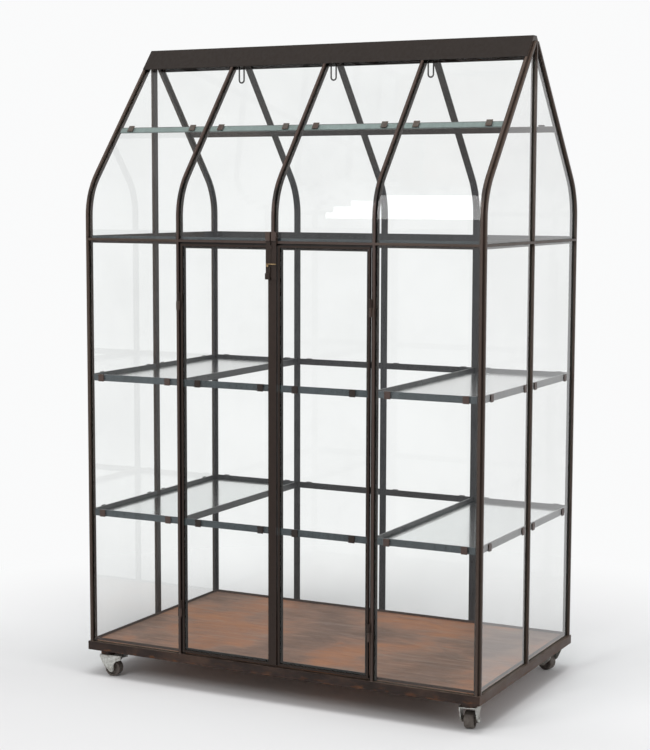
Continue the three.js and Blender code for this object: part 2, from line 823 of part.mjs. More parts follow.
// Latch: a bolt of two joined strips slides up behind the keepers on the eave rail
const stripBack = astragalFront - boltFit;
const stripFront = stripBack - stripThickness;
const boltTop = eaveWebTop - seatGap;
const leftStrip = [latchCentre - stripGap / 2 - stripWidth, latchCentre - stripGap / 2];
const rightStrip = [latchCentre + stripGap / 2, latchCentre + stripGap / 2 + stripWidth];
const bridgeTop = boltTop - leftStripLength;

function latchBolt() {
  return unite([
    box(...leftStrip, stripFront, stripBack, bridgeTop - boltBridgeHeight, boltTop),
    box(...rightStrip, stripFront, stripBack, boltTop - rightStripLength, boltTop),
    box(leftStrip[0], rightStrip[1], stripFront, stripBack, bridgeTop - boltBridgeHeight, bridgeTop),
    box(...leftStrip, stripFront - tabThickness, stripBack, bridgeTop - tabHeight, bridgeTop),
  ]);
}

add('latch_bolt', steel, latchBolt());

// Keepers, each a strap bent over the strip's path and fixed to the front of the eave rail
function keeper([x0, x1]) {
  const backFace = -halfDepth - seatGap;
  const slotBack = stripBack + boltFit;
  const slotFront = stripFront - boltFit;
  const front = slotFront - keeperWall;
  const bottom = boltTop + keeperLead;
  const top = bottom + keeperHeight;
  const outline = [
    [backFace, eaveHeight - halfWeb], [slotBack, eaveHeight - halfWeb], [slotBack, top - keeperWall],
    [slotFront, top - keeperWall], [slotFront, bottom], [front, bottom], [front, top], [backFace, top],
  ];
  return prismX(outline, x0, x1);
}

add('left_keeper', steel, keeper(leftStrip));
add('right_keeper', steel, keeper(rightStrip));

// Meeting bar of the left door, with a rib between the strips whose head holds them
function meetingBar() {
  const ribHalf = stripGap / 2 - boltFit;
  const ribBack = astragalFront + weldBite;
  const headBack = stripFront - seatGap;
  const bottom = bridgeTop + boltTravel + seatGap;
  const top = doorHeights[1];
  return unite([
    box(...astragalSpan, astragalFront, astragalBack, ...doorHeights),
    box(latchCentre - ribHalf, latchCentre + ribHalf, stripFront, ribBack, bottom, top),
    box(latchCentre - ribHalf, latchCentre + ribHalf, headBack - weldBite, stripBack, top - guideHeadHeight, top),
    box(
      latchCentre - guideHeadWidth / 2, latchCentre + guideHeadWidth / 2,
      headBack - guideHeadThickness, headBack, top - guideHeadHeight, top,
    ),
  ]);
}

add('meeting_bar', steel, meetingBar());

// Brass cross pin over both strips, with a stud under its left end
function crossPin() {
  const y = stripFront - seatGap - crossPinRadius;
  const z = boltTop - crossPinHeight;
  const right = rightStrip[1];
  const studX = (leftStrip[0] + leftStrip[1]) / 2;
  const stud = new THREE.CylinderGeometry(studRadius, studRadius, studLength, roundSegments);
  stud.translate(studX, stripFront - seatGap - studLength / 2, z - crossPinRadius - studRadius + weldBite / 2);
  return unite([pinX(crossPinRadius, roundSegments, right - crossPinLength, right, y, z), solid(stud)]);
}

add('latch_pin', brass, crossPin());

// Castors, built with the swivel axis on the origin and the trail along +X, then turned and moved
const plateTop = baseUnderside + weldBite / 2;
const plateBottom = baseUnderside - topPlateThickness;
const racewayBottom = plateBottom - racewayHeight;
const crownTop = racewayBottom - kingPinFit;
const crownBottom = crownTop - forkSheet;
const kingNutTop = crownBottom - kingPinFit;

function castorPlace(name) {
  return {
    x: name.endsWith('left') ? -castorX : castorX,
    y: name.startsWith('front') ? -castorY : castorY,
    angle: THREE.MathUtils.degToRad(castorAngles[name]),
  };
}

function atCastor(manifoldSolid, { x, y, angle }) {
  const mesh = manifoldSolid.getMesh();
  const geometry = new THREE.BufferGeometry();
  geometry.setAttribute('position', new THREE.BufferAttribute(mesh.vertProperties.slice(), 3));
  geometry.setIndex(new THREE.BufferAttribute(mesh.triVerts.slice(), 1));
  return placed(geometry, new THREE.Matrix4().makeRotationZ(angle).setPosition(x, y, 0));
}

function castorPlate() {
  const plate = box(
    -topPlateLength / 2, topPlateLength / 2, -topPlateWidth / 2, topPlateWidth / 2, plateBottom, plateTop,
  );
  const stack = turned([
    [0, plateTop], [racewayRadius, plateTop], [racewayRadius, racewayBottom], [kingPinRadius, racewayBottom],
    [kingPinRadius, kingNutTop], [kingNutRadius, kingNutTop],
    [kingNutRadius, kingNutTop - kingNutHeight], [0, kingNutTop - kingNutHeight],
  ], roundSegments, 0, 0, 0);
  const boltX = topPlateLength / 2 - plateBoltRadius * 2;
  const boltY = topPlateWidth / 2 - plateBoltRadius * 2;
  const bolts = mirroredPair((sideX) => mirroredPair((sideY) => [
    pinZ(plateBoltRadius, 6, sideX * boltX, sideY * boltY, plateBottom - plateBoltHead, plateBottom + weldBite),
  ]));
  return unite([plate, stack, ...bolts]);
}

// One cheek of the fork: broad at the crown, cut away over the wheel, and round at the axle
function forkCheek(side) {
  const aroundAxle = ([ahead, above]) => [castorTrail + ahead, wheelRadius + above];
  const boss = Array.from({ length: forkBossSteps + 1 }, (_, step) => {
    const angle = -Math.PI * forkBossTurnShare * step / forkBossSteps;
    return aroundAxle([forkBossRadius * Math.cos(angle), forkBossRadius * Math.sin(angle)]);
  });
  const outline = [
    [castorTrail - forkLead, crownTop], [castorTrail + forkTail, crownTop],
    ...cheekTailEdge.map(aroundAxle), ...boss, ...cheekLeadEdge.map(aroundAxle).reverse(),
  ];
  const outer = side * forkOuterWidth / 2;
  return prismY(outline, outer, outer - side * forkSheet);
}

function castorFork() {
  const crownHalf = forkOuterWidth / 2;
  const crown = box(castorTrail - forkLead, castorTrail + forkTail, -crownHalf, crownHalf, crownBottom, crownTop);
  const hole = pinZ(kingPinRadius + kingPinFit, roundSegments, 0, 0, crownBottom - weldBite, crownTop + weldBite);
  const axle = new THREE.CylinderGeometry(axleRadius, axleRadius, forkOuterWidth + axleHeadRise, roundSegments);
  axle.translate(castorTrail, 0, wheelRadius);
  const nuts = mirroredPair((side) => {
    const nut = new THREE.CylinderGeometry(axleNutRadius, axleNutRadius, axleNutHeight, 6);
    nut.translate(castorTrail, side * (crownHalf + axleNutHeight / 2 - weldBite), wheelRadius);
    return [solid(nut)];
  });
  return unite([crown.subtract(hole), forkCheek(-1), forkCheek(1), solid(axle), ...nuts]);
}

function castorWheel() {
  const hubHalf = forkOuterWidth / 2 - forkSheet - hubGap;
  const treadHalf = wheelWidth / 2;
  const dishHalf = treadHalf - wheelDishDepth;
  const half = [
    [axleRadius + axleFit, hubHalf], [hubRadius, hubHalf], [hubRadius, dishHalf], [wheelDishRadius, dishHalf],
    [wheelDishRadius, treadHalf], [wheelRadius - wheelRimInset, treadHalf],
    [wheelRadius, treadHalf - wheelRimInset * 2],
  ];
  const outline = [...half, ...half.map(([radius, across]) => [radius, -across]).reverse()];
  const geometry = lathe(outline, wheelSegments);
  geometry.translate(castorTrail, 0, wheelRadius);
  return solid(geometry);
}

// Brake pedal: a wedge on a cross pin behind the crown, its tip up under the base
function brakePedal() {
  const pivotX = castorTrail + forkTail + pedalHinge + seatGap;
  const pivotZ = crownTop - pedalHinge;
  const tipTop = crownTop + pedalRise;
  const outline = [
    [pivotX, pivotZ - pedalHinge], [pivotX + pedalLength, tipTop - pedalTip],
    [pivotX + pedalLength, tipTop], [pivotX, tipTop],
  ];
  const barrel = new THREE.CylinderGeometry(pedalHinge, pedalHinge, pedalWidth, roundSegments);
  barrel.translate(pivotX, 0, pivotZ);
  return solid(barrel).add(prismY(outline, -pedalWidth / 2, pedalWidth / 2));
}

// Base frame, with plates in its corners for the castors and bearers under the tray
function baseFrame() {
  const outline = box(-base.x, base.x, -base.y, base.y, baseUnderside, baseTop);
  const inner = { x: base.x - baseWall, y: base.y - baseWall };
  const ledge = { x: base.x - baseLedge, y: base.y - baseLedge };
  const below = box(-inner.x, inner.x, -inner.y, inner.y, baseUnderside - weldBite, baseTop - baseWall);
  const middle = box(-ledge.x, ledge.x, -ledge.y, ledge.y, baseUnderside, baseTop + weldBite);
  const plates = mirroredPair((sideX) => mirroredPair((sideY) => [
    box(
      sideX * (inner.x + weldBite), sideX * (inner.x - cornerPlateSize),
      sideY * (inner.y + weldBite), sideY * (inner.y - cornerPlateSize),
      baseUnderside, baseUnderside + baseWall,
    ),
  ]));
  const bearers = mirroredPair((side) => [
    box(
      side * bayWidth - baseWall / 2, side * bayWidth + baseWall / 2,
      -inner.y - weldBite, inner.y + weldBite, baseUnderside + weldBite, baseTop - seatGap,
    ),
  ]);
  return unite([outline.subtract(below).subtract(middle), ...plates, ...bearers]);
}

const castorNames = Object.keys(castorAngles);
const castorPlates = castorNames.map((name) => {
  const { x, y } = castorPlace(name);
  return atCastor(castorPlate(), { x, y, angle: 0 });
});
add('base_frame', steelBrown, baseFrame(), ...castorPlates);
for (const name of castorNames) {
  add(`${name}_fork`, zinc, atCastor(castorFork(), castorPlace(name)));
  add(`${name}_wheel`, tread, atCastor(castorWheel(), castorPlace(name)));
}
for (const name of brakedCastors) {
  add(`${name}_pedal`, blackPlastic, atCastor(brakePedal(), castorPlace(name)));
}

// The tab of the latch stands out furthest, so the cabinet moves back until the floor origin is under its middle
const frontReach = -(stripFront - tabThickness);
cabinet.position.y = (frontReach - base.y) / 2;

export default cabinet;
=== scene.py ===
"""Looks of the greenhouse cabinet: patinated steel, clear glass, a rusted floor tray and zinc castors."""
import math

import bmesh
import bpy
from mathutils import Matrix, Vector


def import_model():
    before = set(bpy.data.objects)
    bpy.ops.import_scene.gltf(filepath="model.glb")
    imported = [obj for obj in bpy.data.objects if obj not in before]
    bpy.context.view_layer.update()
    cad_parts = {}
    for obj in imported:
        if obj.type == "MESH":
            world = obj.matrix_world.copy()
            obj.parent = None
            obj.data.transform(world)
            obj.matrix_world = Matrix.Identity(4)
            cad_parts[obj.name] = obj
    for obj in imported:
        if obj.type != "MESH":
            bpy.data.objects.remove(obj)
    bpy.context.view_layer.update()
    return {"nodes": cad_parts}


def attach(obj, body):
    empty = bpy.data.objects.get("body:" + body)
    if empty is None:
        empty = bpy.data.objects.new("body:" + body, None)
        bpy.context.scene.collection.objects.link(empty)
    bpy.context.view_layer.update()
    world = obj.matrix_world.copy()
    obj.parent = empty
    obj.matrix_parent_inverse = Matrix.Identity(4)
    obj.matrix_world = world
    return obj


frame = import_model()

NODES = frame["nodes"]

# Camera, fitted to the photograph
CAMERA_PLACE = Vector((2.3914, -4.7239, 1.4991))
CAMERA_YAW = math.radians(27.079)
CAMERA_PITCH = math.radians(-5.991)
CAMERA_ROLL = math.radians(0.168)
FOCAL_PIXELS = 1720.4
PICTURE_HEIGHT = 750
SENSOR = 36

# Modifiers: edges sharper than SHARP_EDGE stay sharp, those sharper than BEVEL_EDGE are rounded a little
SHARP_EDGE = math.radians(28)
BEVEL_EDGE = math.radians(50)
BEVEL_WIDTH = 0.0006
BEVEL_SEGMENTS = 2

# The cabinet's middle plane and its roof, which rises 1.2 for each 1 towards that plane
CABINET_MIDDLE = 0.0054
ROOF_SINE = math.sin(math.atan(1.2))
ROOF_COSINE = math.cos(math.atan(1.2))

# Steel beyond these distances stands over the glass: from the middle plane for walls and doors,
# from x = 0 for the gables, and along the roof's normal for the roof
WALL_COVER = 0.3788
DOOR_COVER = 0.3828
GABLE_COVER = 0.6486
ROOF_COVER = 1.2521
NO_COVER = 1.0

# Places of the hoops along x, and of the rails along z, where the steel changes tone: painted light on the
# front rails and the eave flange, painted shadow under the eave
DOOR_HOOP_BAND = (0.3105, 0.3335)
END_HOOP_START = 0.6325
MIDDLE_HOOP_END = 0.0115
LOWER_RAIL_BAND = (0.508, 0.530)
UPPER_RAIL_BAND = (0.928, 0.950)
EAVE_HIGHLIGHT_BAND = (1.3655, 1.3735)
EAVE_SHADOW_BAND = (1.350, 1.3655)
PURLIN_BAND = (1.1572, 1.1765)
SHOULDER_END = 1.56
BACK_START = 0.30
BACK_SOFTNESS = 0.02
TRAY_LIP_START = 0.1148
MASK_SOFTNESS = 0.0004

# Weld beads at the feet
BASE_TOP = 0.1116
END_X = 0.644
DOOR_HOOP_X = 0.322
WEB_END_X = 0.6545
WEB_END_Y = 0.3845
CORNER_WEB_Y = 0.372
WELD_REACH = 0.0055
WELD_HALF = 0.0041
WELD_RADIUS = 0.0012
WELD_STEP = 0.0009
WELD_SIDES = 8
WELD_TAPER = 0.6
WIDE_RIPPLE, FINE_RIPPLE = (0.16, 2.1, 40), (0.08, 5.3, 90)

# Materials: a mask or a tone sets in over its limits, and a share is how far it takes over
NOISE_MIDDLE = (0.3, 0.7)

# Steel: painted light on the front rails, its tone at the front purlins, painted shade at the back and on
# its sides, painted shadow under the eave, wear and painted highlight where it stands over the glass, rust
# and relief
RAIL_LIGHT_BLUE = (0.062, 0.078, 0.086)
PURLIN_GREEN = (0.165, 0.215, 0.205)
BACK_SHADE_GREY = (0.030, 0.032, 0.036)
RUST = (0.16, 0.075, 0.040)
TONE_LIMITS = (0.14, 0.42)
SIDE_SHADE_LIMITS, SIDE_SHADE_SHARE = (0.5, 0.9), 0.55
BACK_SHADE_SHARE, RAIL_LIGHT_SHARE, PURLIN_SHARE, EAVE_SHADOW_SHARE = 0.85, 0.85, 0.9, 0.6
WORN_AND_LIT_LIMITS, WORN_AND_LIT_SHARES = (0.35, 0.65), (0.8, 1.0)
RUST_LIMITS, FLECK_SHARE, RUST_DULLING = (0.80, 0.92), 0.22, 0.2
GRAIN_SHINE = (-0.05, 0.05)
BRUSHED_RELIEF, GRAIN_RELIEF = 0.6, 0.25

# Base: orange rust, thickest at the lower edge, a paler streaked ledge that is painted light on its flat
# faces, and a right end that catches the light
BASE_RUST = (0.15, 0.060, 0.024)
BASE_RUST_LIMITS, BASE_RUST_DULLING = (0.50, 0.66), 0.25
BASE_RUST_ZONE = (0.085, 0.101)
BASE_RUST_LOW, BASE_RUST_ANYWHERE = 0.75, 0.08
LIT_LEDGE_LIMITS, LIT_LEDGE_SHARE = (0.6, 0.9), 0.8
LIT_END, LIT_END_START, LIT_END_SHARE = (0.105, 0.070, 0.054), 0.3, 0.55

# Tints of the glass
CLEAR_TINT = (0.992, 0.996, 0.994)
SHELF_TINT = (0.955, 0.975, 0.972)
EDGE_GREEN = (0.42, 0.60, 0.56)
SHELF_EDGE_GREEN = (0.34, 0.56, 0.53)
SMEAR_TINT, SMEAR_LIMITS = 0.985, (0.35, 0.7)
EDGE_LIMITS = (0.55, 0.65)

# Rusty tray: turns of its three patterns about z, the run and drift of its waves, and the tone of its lip
WAVE_TURN, WIPED_TURN, SCRATCH_TURN = math.radians(-14), math.radians(-20), math.radians(-16)
WAVE_RUN = (3.4, -1.3)
WAVE_PITCH, WAVE_DRIFT, WAVE_SHARE = 2.6, 11.0, 0.20
TRAY_LIP = (0.060, 0.040, 0.033)

# Studio: distances at which the floor's own shade gives way to the backdrop's tone
FLOOR_REACH = 40
FLOOR_FADE = (1.5, 4.5)
BEHIND_START = (-0.9, 0.2)
BEHIND_FADE = (0.75, 2.0)
# Painted shade: the floor's colour goes from a darker tone in front of the cabinet to a lighter one behind
# it
FLOOR_SHADE_RISE = (-0.6, 0.2)
FLOOR_FORE_SHADE = (0.775, 0.775, 0.78)
FLOOR_REAR = (0.93, 0.93, 0.94)
BACKDROP_COLOUR = (0.957, 0.960, 0.962)
WORLD_LIGHT = 0.44

# Lamps: place, target, width, height, radiance, seen in mirrors
LAMPS = {
    "key": ((-0.66, -3.0, 2.65), (-0.66, 0, 2.65), 1.04, 2.1, 6.2, True),
    "overhead": ((0.50, -0.95, 4.6), (0, -0.1, 1), 2.8, 2.2, 5.9, False),
    "left_fill": ((-4.5, -3.2, 2.6), (0, 0, 1), 2.0, 2.4, 0.35, False),
    "right_fill": ((4.5, -1.5, 2.5), (0, 0, 1), 2.0, 2.4, 2.2, False),
}


def scaled(colour, factor):
    return tuple(value * factor for value in colour)


def camera():
    sin_yaw, cos_yaw = math.sin(CAMERA_YAW), math.cos(CAMERA_YAW)
    sin_pitch, cos_pitch = math.sin(CAMERA_PITCH), math.cos(CAMERA_PITCH)
    forward = Vector((-sin_yaw * cos_pitch, cos_yaw * cos_pitch, sin_pitch))
    right = Vector((cos_yaw, sin_yaw, 0))
    up = right.cross(forward)
    sin_roll, cos_roll = math.sin(CAMERA_ROLL), math.cos(CAMERA_ROLL)
    rolled_right = right * cos_roll + up * sin_roll
    rolled_up = up * cos_roll - right * sin_roll
    data = bpy.data.cameras.new("camera")
    data.sensor_width = SENSOR
    data.lens = FOCAL_PIXELS / PICTURE_HEIGHT * SENSOR
    obj = bpy.data.objects.new("camera", data)
    axes = Matrix((rolled_right, rolled_up, -forward)).transposed()
    obj.matrix_world = Matrix.Translation(CAMERA_PLACE) @ axes.to_4x4()
    bpy.context.scene.collection.objects.link(obj)
    bpy.context.scene.camera = obj


class Shader:
    """A material whose nodes are added by short calls."""

    def __init__(self, name):
        self.material = bpy.data.materials.new(name)
        self.material.use_nodes = True
        self.tree = self.material.node_tree
        self.tree.nodes.clear()
        self.output = self.node("ShaderNodeOutputMaterial")
        self.coordinates = self.node("ShaderNodeTexCoord").outputs["Object"]

    def node(self, kind, **settings):
        made = self.tree.nodes.new(kind)
        for key, value in settings.items():
            setattr(made, key, value)
        return made

    def link(self, source, target):
        self.tree.links.new(source, target)

    def put(self, socket, value):
        if isinstance(value, bpy.types.NodeSocket):
            self.link(value, socket)
        else:
            socket.default_value = value

    def stretched(self, stretch=(1, 1, 1), place=(0, 0, 0), turn=0.0):
        """Coordinates that are stretched, shifted and turned about z."""
        mapping = self.node("ShaderNodeMapping")
        self.link(self.coordinates, mapping.inputs["Vector"])
        mapping.inputs["Scale"].default_value = stretch
        mapping.inputs["Location"].default_value = place
        mapping.inputs["Rotation"].default_value = (0, 0, turn)
        return mapping.outputs["Vector"]

    def noise(self, scale, detail, rough, distortion=0, **stretch):
        """Noise by the place on the piece; what else is given goes to stretched()."""
        made = self.node("ShaderNodeTexNoise")
        self.link(self.stretched(**stretch) if stretch else self.coordinates, made.inputs["Vector"])
        made.inputs["Scale"].default_value = scale
        made.inputs["Detail"].default_value = detail
        made.inputs["Roughness"].default_value = rough
        made.inputs["Distortion"].default_value = distortion
        return made.outputs["Fac"]

    def ramp(self, factor, low, high, start=0.0, end=1.0):
        """A smooth step from start, where the factor is low, to end, where it is high."""
        made = self.node("ShaderNodeMapRange", interpolation_type="SMOOTHSTEP", clamp=True)
        self.link(factor, made.inputs["Value"])
        made.inputs["From Min"].default_value = low
        made.inputs["From Max"].default_value = high
        made.inputs["To Min"].default_value = start
        made.inputs["To Max"].default_value = end
        return made.outputs["Result"]

    def colours(self, factor, *stops):
        """A colour ramp through stops, each a position and a colour."""
        made = self.node("ShaderNodeValToRGB")
        self.link(factor, made.inputs["Fac"])
        elements = made.color_ramp.elements
        while len(elements) < len(stops):
            elements.new(0.5)
        for element, (position, colour) in zip(elements, stops):
            element.position = position
            element.color = (*colour, 1)
        return made.outputs["Color"]

    def mix(self, factor, first, second):
        made = self.node("ShaderNodeMix", data_type="RGBA")
        self.put(made.inputs["Factor"], factor)
        for socket, value in ((made.inputs[6], first), (made.inputs[7], second)):
            self.put(socket, (*value, 1) if isinstance(value, tuple) else value)
        return made.outputs[2]

    def maths(self, operation, first, second=0.0):
        made = self.node("ShaderNodeMath", operation=operation)
        self.put(made.inputs[0], first)
        self.put(made.inputs[1], second)
        return made.outputs[0]

    def plus(self, first, second):
        return self.maths("ADD", first, second)

    def minus(self, first, second):
        return self.maths("SUBTRACT", first, second)

    def times(self, first, second):
        return self.maths("MULTIPLY", first, second)

    def most(self, first, second):
        return self.maths("MAXIMUM", first, second)

    def parts(self, vector):
        split = self.node("ShaderNodeSeparateXYZ")
        self.link(vector, split.inputs[0])
        return split.outputs

    def normal_part(self, axis):
        parts = self.parts(self.node("ShaderNodeTexCoord").outputs["Normal"])
        return self.maths("ABSOLUTE", parts[axis])

    def above(self, value, limit, soft=MASK_SOFTNESS):
        """1 where the value is above the limit."""
        return self.ramp(value, limit - soft, limit + soft)

    def band(self, value, low, high):
        """1 where the value lies from low to high."""
        return self.minus(self.above(value, low), self.above(value, high))

    def bump(self, height, strength, distance):
        made = self.node("ShaderNodeBump")
        self.link(height, made.inputs["Height"])
        made.inputs["Strength"].default_value = strength
        made.inputs["Distance"].default_value = distance
        return made.outputs["Normal"]

    def surface(self, **inputs):
        """The material with one Principled shader; an underscore in a name stands for a space."""
        made = self.node("ShaderNodeBsdfPrincipled")
        for key, value in inputs.items():
            self.put(made.inputs[key.replace("_", " ")], value)
        return self.show(made)

    def show(self, shader):
        self.link(shader.outputs[0], self.output.inputs["Surface"])
        return self.material


class Zones:
    """Masks by the place on the cabinet, which stays where it is in its own frame."""

    def __init__(self, s, cover):
        x, y, z = s.parts(s.coordinates)
        across = s.maths("ABSOLUTE", x)
        depth = s.maths("ABSOLUTE", s.minus(y, CABINET_MIDDLE))
        roof_height = s.plus(s.times(depth, ROOF_SINE), s.times(z, ROOF_COSINE))
        roof_run = s.minus(s.times(z, ROOF_SINE), s.times(depth, ROOF_COSINE))
        in_front = s.minus(1.0, s.above(y, 0))
        outside = s.most(s.above(depth, cover), s.above(across, GABLE_COVER))
        self.proud = s.most(outside, s.above(roof_height, ROOF_COVER))
        on_hoop = s.plus(s.band(across, *DOOR_HOOP_BAND), s.above(across, END_HOOP_START))
        on_hoop = s.plus(on_hoop, s.maths("LESS_THAN", across, MIDDLE_HOOP_END))
        clear = s.minus(1.0, s.maths("MINIMUM", on_hoop, 1.0))
        # Painted light: the front shelf rails and the eave's upper flange, lit through the glass, a painted
        # highlight
        shelf_rails = s.plus(s.band(z, *LOWER_RAIL_BAND), s.band(z, *UPPER_RAIL_BAND))
        rails = s.most(shelf_rails, s.band(z, *EAVE_HIGHLIGHT_BAND))
        self.front_rail_light = s.times(s.times(rails, clear), in_front)
        # Painted shadow: the band under the front eave's web
        self.eave_shadow = s.times(s.times(s.band(z, *EAVE_SHADOW_BAND), clear), in_front)
        purlin = s.times(s.band(roof_run, *PURLIN_BAND), s.above(z, SHOULDER_END))
        self.front_purlin = s.times(s.times(purlin, clear), in_front)
        # Painted shade: the steel at the back of the cabinet
        self.back = s.above(y, BACK_START, BACK_SOFTNESS)


def steel(name, dark, light, proud, cover=WALL_COVER, rough=(0.28, 0.50), dents=0.2, sheen=0.31):
    """Waxed steel: cloudy brown-black, with painted shade on its sides and at the back, painted light on
    the front rails and a painted shadow under the eave; browner where it stands over the glass, partly its
    own tone and partly a painted highlight.
    """
    s = Shader(name)
    zones = Zones(s, cover)
    clouds = s.noise(scale=7, detail=5, rough=0.6)
    brushed = s.noise(scale=26, detail=6, rough=0.65, stretch=(3.4, 3.4, 0.5))
    grain = s.noise(scale=420, detail=3, rough=0.6)
    tone = s.times(clouds, brushed)

    def cloudy(low, high):
        return s.colours(tone, *zip(TONE_LIMITS, (low, high)))

    # Painted shade: faces turned along x take the dark tone, as if in shadow
    shaded_side = s.ramp(s.normal_part("X"), *SIDE_SHADE_LIMITS, end=SIDE_SHADE_SHARE)
    colour = s.mix(shaded_side, cloudy(dark, light), dark)
    for mask, share, low, high in (
        # Painted shade: the back takes a darker blue-grey
        (zones.back, BACK_SHADE_SHARE, scaled(BACK_SHADE_GREY, 0.6), scaled(BACK_SHADE_GREY, 1.3)),
        # Painted light: the front rails take a lighter blue-grey
        (zones.front_rail_light, RAIL_LIGHT_SHARE, scaled(RAIL_LIGHT_BLUE, 0.7), scaled(RAIL_LIGHT_BLUE, 1.25)),
        (zones.front_purlin, PURLIN_SHARE, scaled(PURLIN_GREEN, 0.8), scaled(PURLIN_GREEN, 1.15)),
    ):
        colour = s.mix(s.times(mask, share), colour, cloudy(low, high))
    # Painted shadow under the eave web
    colour = s.mix(s.times(zones.eave_shadow, EAVE_SHADOW_SHARE), colour, dark)
    # Where the steel stands over the glass it turns browner in patches: partly its own tone, partly a
    # painted highlight
    worn_and_lit = s.ramp(s.noise(scale=60, detail=5, rough=0.7), *WORN_AND_LIT_LIMITS, *WORN_AND_LIT_SHARES)
    colour = s.mix(s.times(zones.proud, worn_and_lit), colour, proud)
    patches = s.noise(scale=5.5, detail=8, rough=0.68, distortion=0.6, place=(3.1, 1.7, 0.4))
    flecks = s.noise(scale=95, detail=4, rough=0.7)
    rusty = s.ramp(s.plus(patches, s.times(flecks, FLECK_SHARE)), *RUST_LIMITS)
    shine = s.plus(s.ramp(brushed, *NOISE_MIDDLE, *rough), s.ramp(grain, *NOISE_MIDDLE, *GRAIN_SHINE))
    relief = s.plus(s.times(brushed, BRUSHED_RELIEF), s.times(grain, GRAIN_RELIEF))
    return s.surface(
        Base_Color=s.mix(rusty, colour, RUST),
        Metallic=0.1,
        Roughness=s.plus(shine, s.times(rusty, RUST_DULLING)),
        Specular_IOR_Level=sheen,
        Normal=s.bump(relief, strength=dents, distance=0.0005),
    )


def base_metal(name):
    """Brown rail of the base: a paler streaked ledge, painted light on its flat faces, and orange rust that
    creeps up from its lower edge.
    """
    s = Shader(name)
    x, _, z = s.parts(s.coordinates)
    clouds = s.noise(scale=9, detail=6, rough=0.62, stretch=(1, 1, 2.2))
    grain = s.noise(scale=380, detail=3, rough=0.6)
    streaks = s.noise(scale=24, detail=6, rough=0.7, stretch=(1, 1, 3.5), place=(0.7, 0.3, 0))
    colour = s.colours(
        clouds,
        (0.32, (0.014, 0.008, 0.006)),
        (0.50, (0.026, 0.016, 0.013)),
        (0.68, (0.060, 0.035, 0.025)),
    )
    low = s.ramp(z, *BASE_RUST_ZONE, start=1, end=0)
    amount = s.plus(s.times(low, BASE_RUST_LOW), BASE_RUST_ANYWHERE)
    creeping = s.times(s.ramp(streaks, *BASE_RUST_LIMITS), amount)
    colour = s.mix(creeping, colour, BASE_RUST)
    # Painted light: faces that lie flat take a paler streaked tone
    lit_ledge = s.ramp(s.normal_part("Z"), *LIT_LEDGE_LIMITS)
    lit_ledge_tone = s.colours(streaks, (0.35, (0.060, 0.040, 0.031)), (0.6, (0.120, 0.084, 0.066)))
    colour = s.mix(s.times(lit_ledge, LIT_LEDGE_SHARE), colour, lit_ledge_tone)
    lit_end = s.times(s.normal_part("X"), s.above(x, LIT_END_START))
    return s.surface(
        Base_Color=s.mix(s.times(lit_end, LIT_END_SHARE), colour, LIT_END),
        Metallic=0.05,
        Roughness=s.plus(
            s.ramp(clouds, *NOISE_MIDDLE, start=0.42, end=0.6), s.times(creeping, BASE_RUST_DULLING)),
        Specular_IOR_Level=0.22,
        Normal=s.bump(s.plus(streaks, s.times(grain, 0.3)), strength=0.35, distance=0.0006),
    )


def tray_metal(name):
    """Rusted sheet: wavy bands of orange, red and grey brown, wiped along their length, with a dark lip."""
    s = Shader(name)
    along, up, _ = s.parts(s.stretched(turn=WAVE_TURN))
    drift = s.noise(scale=2.6, detail=4, rough=0.55, turn=WAVE_TURN)
    run = s.plus(s.times(along, WAVE_RUN[0]), s.times(up, WAVE_RUN[1]))
    wave = s.maths("SINE", s.plus(s.times(run, WAVE_PITCH), s.times(drift, WAVE_DRIFT)))
    smudges = s.noise(
        scale=7.5, detail=9, rough=0.70, distortion=1.3,
        stretch=(0.55, 1.5, 1), place=(0.2, 0.1, 0), turn=WAVE_TURN)
    body = s.colours(
        s.plus(s.times(wave, WAVE_SHARE), smudges),
        (0.26, (0.160, 0.096, 0.070)),
        (0.42, (0.215, 0.124, 0.086)),
        (0.54, (0.265, 0.148, 0.100)),
        (0.68, (0.325, 0.150, 0.082)),
        (0.84, (0.385, 0.165, 0.074)),
    )
    wiped = s.noise(
        scale=9, detail=9, rough=0.72, distortion=0.7,
        stretch=(0.5, 3.2, 1), turn=WIPED_TURN)
    scratched = s.noise(
        scale=20, detail=9, rough=0.75, distortion=0.9,
        stretch=(0.35, 3.6, 1), place=(0.6, 0.2, 0), turn=SCRATCH_TURN)
    spots = s.noise(scale=85, detail=4, rough=0.65)
    for pattern, low, high, share, colour in (
        (wiped, 0.52, 0.75, 0.55, (0.310, 0.235, 0.190)),
        (wiped, 0.47, 0.25, 0.55, (0.105, 0.068, 0.054)),
        (scratched, 0.53, 0.68, 0.55, (0.350, 0.255, 0.200)),
        (scratched, 0.46, 0.32, 0.55, (0.105, 0.062, 0.044)),
        (spots, 0.66, 0.74, 0.45, (0.46, 0.37, 0.31)),
    ):
        body = s.mix(s.ramp(pattern, low, high, end=share), body, colour)
    _, _, height = s.parts(s.coordinates)
    grain = s.noise(scale=300, detail=3, rough=0.6)
    return s.surface(
        Base_Color=s.mix(s.above(height, TRAY_LIP_START), body, TRAY_LIP),
        Roughness=s.ramp(s.plus(wiped, s.times(grain, 0.2)), 0.35, 0.85, start=0.75, end=0.58),
        Specular_IOR_Level=0.25,
        Normal=s.bump(s.plus(wiped, s.times(grain, 0.4)), strength=0.3, distance=0.0008),
    )


